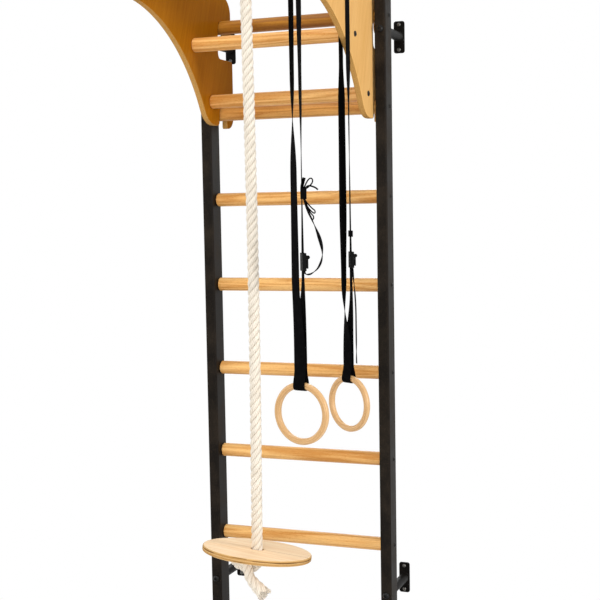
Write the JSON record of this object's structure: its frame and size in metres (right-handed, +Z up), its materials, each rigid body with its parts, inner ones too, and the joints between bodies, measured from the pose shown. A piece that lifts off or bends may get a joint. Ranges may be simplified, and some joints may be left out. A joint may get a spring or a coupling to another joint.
{
  "type": "swedish wall bars",
  "caption": "Steel-post wall bars with round wooden rungs, a hook-on plywood pull-up arch, a rope with a disc seat and gym rings on webbing straps.",
  "frame": {"origin": "point on the wall plane at floor level, midway between the two posts", "axes": "+X to the right seen from the room, +Y into the wall, +Z up"},
  "size_m": [0.7025, 0.9962, 2.3585],
  "materials": {
    "powder_coat": "satin black powder coat",
    "black_plastic": "moulded",
    "black_bolt": "blackened steel",
    "zinc": "zinc plated",
    "beech": "clear satin varnish",
    "plywood": "clear satin varnish",
    "birch_ply": "sanded and varnished",
    "cotton_rope": "three-strand laid rope",
    "ring_wood": "laminated and sanded",
    "webbing": "woven"
  },
  "bodies": {
    "frame": {"left_post": "powder_coat", "left_post_cap": "black_plastic", "left_post_foot": "black_plastic", "right_post": "powder_coat", "right_post_cap": "black_plastic", "right_post_foot": "black_plastic", "rung_1": "beech", "rung_2": "beech", "rung_3": "beech", "rung_4": "beech", "rung_5": "beech", "rung_6": "beech", "rung_7": "beech", "rung_8": "beech", "upper_left_bracket": "powder_coat", "upper_left_bracket_bolt": "black_bolt", "upper_left_upper_wall_screw": "zinc", "upper_left_lower_wall_screw": "zinc", "upper_right_bracket": "powder_coat", "upper_right_bracket_bolt": "black_bolt", "upper_right_upper_wall_screw": "zinc", "upper_right_lower_wall_screw": "zinc", "lower_left_bracket": "powder_coat", "lower_left_bracket_bolt": "black_bolt", "lower_left_upper_wall_screw": "zinc", "lower_left_lower_wall_screw": "zinc", "lower_right_bracket": "powder_coat", "lower_right_bracket_bolt": "black_bolt", "lower_right_upper_wall_screw": "zinc", "lower_right_lower_wall_screw": "zinc"},
    "arch": {"left_side_plate": "plywood", "right_side_plate": "plywood", "upper_stay": "beech", "upper_stay_left_bolt": "black_bolt", "upper_stay_right_bolt": "black_bolt", "lower_stay": "beech", "lower_stay_left_bolt": "black_bolt", "lower_stay_right_bolt": "black_bolt", "pull_up_bar": "beech", "pull_up_bar_left_bolt": "black_bolt", "pull_up_bar_right_bolt": "black_bolt", "front_strap_saddle": "webbing", "rear_strap_saddle": "webbing"},
    "rope": {"rope_eye": "cotton_rope", "rope_collar": "cotton_rope", "rope": "cotton_rope", "rope_knot": "cotton_rope"},
    "seat": {"seat": "birch_ply"},
    "front_strap": {"front_strap": "webbing", "front_buckle": "black_bolt", "front_strap_tail": "webbing"},
    "front_ring": {"front_ring": "ring_wood"},
    "rear_strap": {"rear_strap": "webbing", "rear_buckle": "black_bolt", "rear_strap_tail": "webbing"},
    "rear_ring": {"rear_ring": "ring_wood"},
    "front_lever": {"front_buckle_lever": "black_bolt"},
    "rear_lever": {"rear_buckle_lever": "black_bolt"}
  },
  "joints": [
    {"name": "arch_lift", "type": "slide", "parent": "frame", "child": "arch", "axis": [0, 0, 1], "range_m": [0, 0.079]},
    {"name": "rope_swing", "type": "hinge", "parent": "arch", "child": "rope", "pos_m": [0.109, -0.835, 2.288], "axis": [1, 0, 0], "range_deg": [-30, 13]},
    {"name": "seat_spin", "type": "hinge", "parent": "rope", "child": "seat", "pos_m": [0.109, -0.835, 0.584], "axis": [0.0854, 0.1283, 0.988], "continuous": true},
    {"name": "front_ring_swing", "type": "hinge", "parent": "arch", "child": "front_strap", "pos_m": [0.279, -0.89, 2.231], "axis": [1, 0, 0], "range_deg": [-25, 5]},
    {"name": "front_ring_tilt", "type": "hinge", "parent": "front_strap", "child": "front_ring", "pos_m": [0.279, -0.89, 1.0945], "axis": [0.9781, -0.2079, 0], "range_deg": [-20, 20]},
    {"name": "rear_ring_swing", "type": "hinge", "parent": "arch", "child": "rear_strap", "pos_m": [0.279, -0.474, 2.09853], "axis": [1, 0, 0], "range_deg": [-6, 7]},
    {"name": "rear_ring_tilt", "type": "hinge", "parent": "rear_strap", "child": "rear_ring", "pos_m": [0.279, -0.474, 1.0595], "axis": [0.8829, -0.4695, 0], "range_deg": [-20, 20]},
    {"name": "front_buckle_open", "type": "hinge", "parent": "front_strap", "child": "front_lever", "pos_m": [0.29753, -0.8764, 1.456], "axis": [0.5117, -0.8591, 0], "range_deg": [0, 30], "stiffness_Nm_per_rad": 0.02},
    {"name": "rear_buckle_open", "type": "hinge", "parent": "rear_strap", "child": "rear_lever", "pos_m": [0.30048, -0.46629, 1.445], "axis": [0.4772, -0.8788, 0], "range_deg": [0, 45], "stiffness_Nm_per_rad": 0.02}
  ]
}
